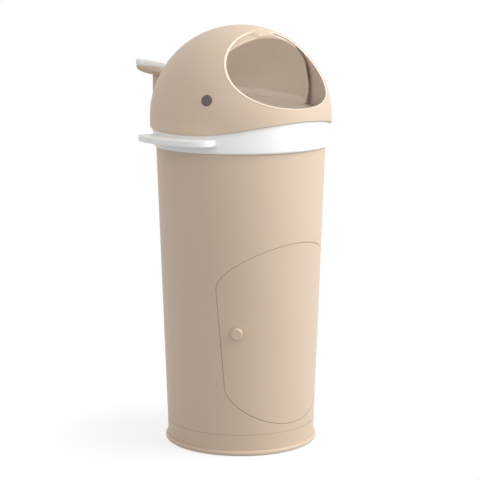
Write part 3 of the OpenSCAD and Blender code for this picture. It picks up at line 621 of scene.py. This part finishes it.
# The cutter that makes it stands past the wall, above and outside
SEAM_OVER_Z, SEAM_OVER_R = 0.3, 1
# A small angle, because the small rounded edges would tilt the shading of the tall wall
BASE_SMOOTH = 9


def add_base():
    """The base's moulding with the fine shadow gap that shows where the body stands on it."""
    base = merged_copy("base_pan", "base_moulding")
    at_seam = [v.co.xy.length for v in base.data.vertices if abs(v.co.z - SEAM_Z * MM) < 0.05 * MM]
    wall_r = max(at_seam) / MM
    low, high = SEAM_Z - SEAM_H, SEAM_Z + SEAM_OVER_Z
    inner, outer = wall_r - SEAM_DEPTH, wall_r + SEAM_OVER_R
    cut(base, lathe("groove", [(inner, low), (outer, low), (outer, high), (inner, high)]))
    bpy.ops.object.shade_smooth_by_angle(angle=math.radians(BASE_SMOOTH))
    dress(base, "bin", beige, "beige_shell", "base_pan")


# ---------- tail ----------

TAIL_REACH = 182.0
FLUKE_SPAN = 50.4
FLUKE_BASE_Z = DOME_Z + 59.5
FLUKE_TIP_RISE = 8.8
FLUKE_T = 10.0
FLUKE_DROP = 1.5
FLUKE_EDGE = 3.8
FLUKE_TIP_R = 6.0
# Seen from above: its depth in the middle, and how far the leading edge and the tips are set back
FLUKE_CHORD, FLUKE_SWEEP, FLUKE_NOTCH, FLUKE_TIP_SET = 40, 34, 3, 4
FLUKE_STATIONS = 72
CORNER_STEPS = 5
BELLY_DEPTH = 9.8
# Its depth in the middle as a share of the full depth, which it reaches this far along
BELLY_MIDDLE, BELLY_LOBE = 0.55, 0.55
# Under 1 the belly is fuller than an ellipse
BELLY_FULLNESS = 0.6
BELLY_STEPS = 24
# How far it stands back from the plate's tips and edges, and how far it reaches up into the plate
BELLY_SHORT, BELLY_INSET, BELLY_ROOT = 1.4, 0.3, 0.6


def fluke_edges(part):
    """The leading and the trailing edge's Y, at a part of the way from the middle to a tip."""
    return (TAIL_REACH - FLUKE_CHORD + FLUKE_SWEEP * part ** 2,
            TAIL_REACH - FLUKE_NOTCH * (1 - part) ** 2 - FLUKE_TIP_SET * part ** 6)


def fluke_section(x):
    """The fluke's middle Y, half width, lowest and highest Z at a distance from its middle."""
    part = min(1, abs(x) / FLUKE_SPAN)
    lead, trail = fluke_edges(min(part, 1 - FLUKE_TIP_R / FLUKE_SPAN))
    past = max(0, (abs(x) - FLUKE_SPAN + FLUKE_TIP_R) / FLUKE_TIP_R)
    half_w = (trail - lead) / 2 * math.sqrt(max(0, 1 - past ** 2))
    low = FLUKE_BASE_Z + FLUKE_TIP_RISE * ease(part, 0, 1)
    top = low + FLUKE_T
    low -= FLUKE_DROP * ease(part, 0, 0.4)
    return sum(fluke_edges(part)) / 2, max(0.15, half_w), low, top


def fluke_stations(reach):
    """Places along X from one tip to the other, closer together towards the tips."""
    return [reach * math.sin(math.pi / 2 * (2 * i / FLUKE_STATIONS - 1))
            for i in range(FLUKE_STATIONS + 1)]


def add_fluke():
    """The white fluke: a bowed plate with rounded edges and blunt round tips."""
    rows = []
    for x in fluke_stations(FLUKE_SPAN - 0.05):
        middle_y, half_w, low, top = fluke_section(x)
        past = max(0, (abs(x) - FLUKE_SPAN + FLUKE_EDGE) / FLUKE_EDGE)
        half_h = (top - low) / 2 - FLUKE_EDGE * (1 - math.sqrt(max(0, 1 - past ** 2)))
        edge = min(FLUKE_EDGE, 0.95 * half_w, 0.95 * half_h)
        row = []
        for quarter, (sy, sz) in enumerate(((1, -1), (1, 1), (-1, 1), (-1, -1))):
            for i in range(CORNER_STEPS + 1):
                a = math.radians(90 * (quarter - 1) + 90 / CORNER_STEPS * i)
                row.append((x, middle_y + sy * (half_w - edge) + edge * math.cos(a),
                            (low + top) / 2 + sz * (half_h - edge) + edge * math.sin(a)))
        rows.append(row)
    dress(grid_piece("fluke_moulding", rows), "scoop", white, "white_shell", "fluke_plate")


def add_belly():
    """The full belly under the fluke: deepest under each lobe, with blunt ends under the tips."""
    rows = []
    reach = FLUKE_SPAN - BELLY_SHORT
    for x in fluke_stations(reach - 0.1):
        middle_y, half_w, low, _ = fluke_section(x)
        part = abs(x) / reach
        lobe = BELLY_MIDDLE + (1 - BELLY_MIDDLE) * ease(part, 0, BELLY_LOBE)
        depth = max(0.3, BELLY_DEPTH * lobe * math.sqrt(max(0, 1 - part ** 8)))
        half_w = max(0.2, half_w - BELLY_INSET)
        row = []
        for i in range(BELLY_STEPS + 1):
            a = math.pi * i / BELLY_STEPS
            c, d = math.cos(a), math.sin(a)
            row.append((x, middle_y + half_w * math.copysign(abs(c) ** BELLY_FULLNESS, c),
                        low - 0.05 - depth * max(0, d) ** BELLY_FULLNESS))
        # two points inside the plate close the section
        inside = [(x, row[-1][1] + 0.4, low + BELLY_ROOT), (x, row[0][1] - 0.4, low + BELLY_ROOT)]
        rows.append(inside + row)
    dress(grid_piece("tail_belly", rows), "scoop", beige, "beige_shell")


# ---------- camera ----------

VIEW_TURN = math.radians(-43)
VIEW_DISTANCE = 2.4525
VIEW_HEIGHT = 0.7241
VIEW_DOWN = math.radians(9.85)
LENS = 126
SENSOR = 36
FRAME_PX = 480
CENTRE_OFF_PX = 0.86


def add_camera():
    """A long lens from the front left, a little above the dome and looking slightly down."""
    data = bpy.data.cameras.new("camera")
    data.lens = LENS
    data.sensor_width = SENSOR
    data.shift_x = -CENTRE_OFF_PX / FRAME_PX
    camera = bpy.data.objects.new("camera", data)
    camera.location = (math.sin(VIEW_TURN) * VIEW_DISTANCE,
                       -math.cos(VIEW_TURN) * VIEW_DISTANCE, VIEW_HEIGHT)
    camera.rotation_euler = (math.radians(90) - VIEW_DOWN, 0, VIEW_TURN)
    bpy.context.scene.collection.objects.link(camera)
    bpy.context.scene.camera = camera


# ---------- light and floor ----------

WORLD_FILL = 0.72
# The floor turns from shadowed to plain white between these distances from the middle, in mm
FLOOR_SHADE_IN = 150
FLOOR_SHADE_OUT = 330
FLOOR_WHITE_IN = 0.75
# What the floor throws back at the bin is a little darker than what the camera sees
FLOOR_BOUNCE = "#B6B6B6"
# In metres, as are the camera's and the lamps' places
FLOOR_R = 6
FLOOR_DROP = 0.0004
BIN_MIDDLE = (0, 0, 0.32)
MOUTH_TOP = (0.06, -0.06, 0.59)


def add_lamp(name, turn, height, distance, size, power, target=BIN_MIDDLE, grid_deg=180):
    """A square soft box at a turn from the front towards +X, in degrees, aimed at a target.

    A grid narrows its beam, which makes it much brighter for its power.
    """
    data = bpy.data.lights.new(name, "AREA")
    data.shape = "SQUARE"
    data.size = size
    data.energy = power
    data.spread = math.radians(grid_deg)
    lamp = bpy.data.objects.new(name, data)
    a = math.radians(turn)
    lamp.location = (math.sin(a) * distance, -math.cos(a) * distance, height)
    aim = Vector(target) - lamp.location
    lamp.rotation_euler = aim.to_track_quat("-Z", "Y").to_euler()
    bpy.context.scene.collection.objects.link(lamp)


def seen_directly(tree):
    """1 where the camera, a reflection or clear plastic looks at the surroundings, otherwise 0."""
    ray = add_node(tree, "ShaderNodeLightPath")
    seen = ray.outputs["Is Camera Ray"]
    for other in ("Is Glossy Ray", "Is Transmission Ray"):
        both = add_node(tree, "ShaderNodeMath", {"operation": "MAXIMUM"})
        tree.links.new(seen, both.inputs[0])
        tree.links.new(ray.outputs[other], both.inputs[1])
        seen = both.outputs["Value"]
    return seen


def add_world():
    """Even light all round, and plain white where the camera or a reflection looks past the bin."""
    world = bpy.data.worlds.new("studio")
    bpy.context.scene.world = world
    world.use_nodes = True
    tree = world.node_tree
    tree.nodes.clear()
    fill = add_node(tree, "ShaderNodeBackground",
                    {"Color": linear("#FFFFFF"), "Strength": WORLD_FILL})
    shown = add_node(tree, "ShaderNodeBackground", {"Color": linear("#FFFFFF"), "Strength": 1.0})
    mix = add_node(tree, "ShaderNodeMixShader", {}, {"Fac": seen_directly(tree)})
    tree.links.new(fill.outputs["Background"], mix.inputs[1])
    tree.links.new(shown.outputs["Background"], mix.inputs[2])
    output = add_node(tree, "ShaderNodeOutputWorld")
    tree.links.new(mix.outputs["Shader"], output.inputs["Surface"])


def add_floor():
    """A plain pale floor: white away from the bin, with its soft shadow close round the foot."""
    start_fresh()
    bpy.ops.mesh.primitive_circle_add(vertices=96, radius=FLOOR_R, fill_type="NGON",
                                      location=(0, 0, -FLOOR_DROP))
    floor = bpy.context.object
    floor.name = "floor"
    material, tree, output = new_material("pale_floor")
    place = add_node(tree, "ShaderNodeTexCoord").outputs["Object"]
    reach = add_node(tree, "ShaderNodeVectorMath", {"operation": "LENGTH"}, {"Vector": place})
    fade = add_node(tree, "ShaderNodeMapRange",
                    {"From Min": FLOOR_SHADE_IN * MM, "From Max": FLOOR_SHADE_OUT * MM,
                     "To Min": FLOOR_WHITE_IN, "To Max": 1.0, "interpolation_type": "SMOOTHSTEP"},
                    {"Value": reach.outputs["Value"]})
    shaded = add_node(tree, "ShaderNodeBsdfDiffuse", {"Color": linear("#FFFFFF")})
    bounce = add_node(tree, "ShaderNodeBsdfDiffuse", {"Color": linear(FLOOR_BOUNCE)})
    glow = add_node(tree, "ShaderNodeEmission", {"Color": linear("#FFFFFF"), "Strength": 1.0})
    shown = add_node(tree, "ShaderNodeMixShader", {}, {"Fac": fade.outputs["Result"]})
    tree.links.new(shaded.outputs["BSDF"], shown.inputs[1])
    tree.links.new(glow.outputs["Emission"], shown.inputs[2])
    mix = add_node(tree, "ShaderNodeMixShader", {}, {"Fac": seen_directly(tree)})
    tree.links.new(bounce.outputs["BSDF"], mix.inputs[1])
    tree.links.new(shown.outputs["Shader"], mix.inputs[2])
    tree.links.new(mix.outputs["Shader"], output.inputs["Surface"])
    paint(floor, material)


add_scoop()
add_mouth_lip()
add_dome_edge()
add_collar()
add_base()
add_fluke()
add_belly()
add_camera()
add_world()
add_lamp("key_box", turn=36, height=1.9, distance=2.4, size=2.2, power=70)
add_lamp("gridded_box", turn=-34, height=1.25, distance=1.6, size=0.5, power=0.065,
         target=MOUTH_TOP, grid_deg=10)
add_floor()
bpy.context.scene.view_settings.view_transform = "Standard"
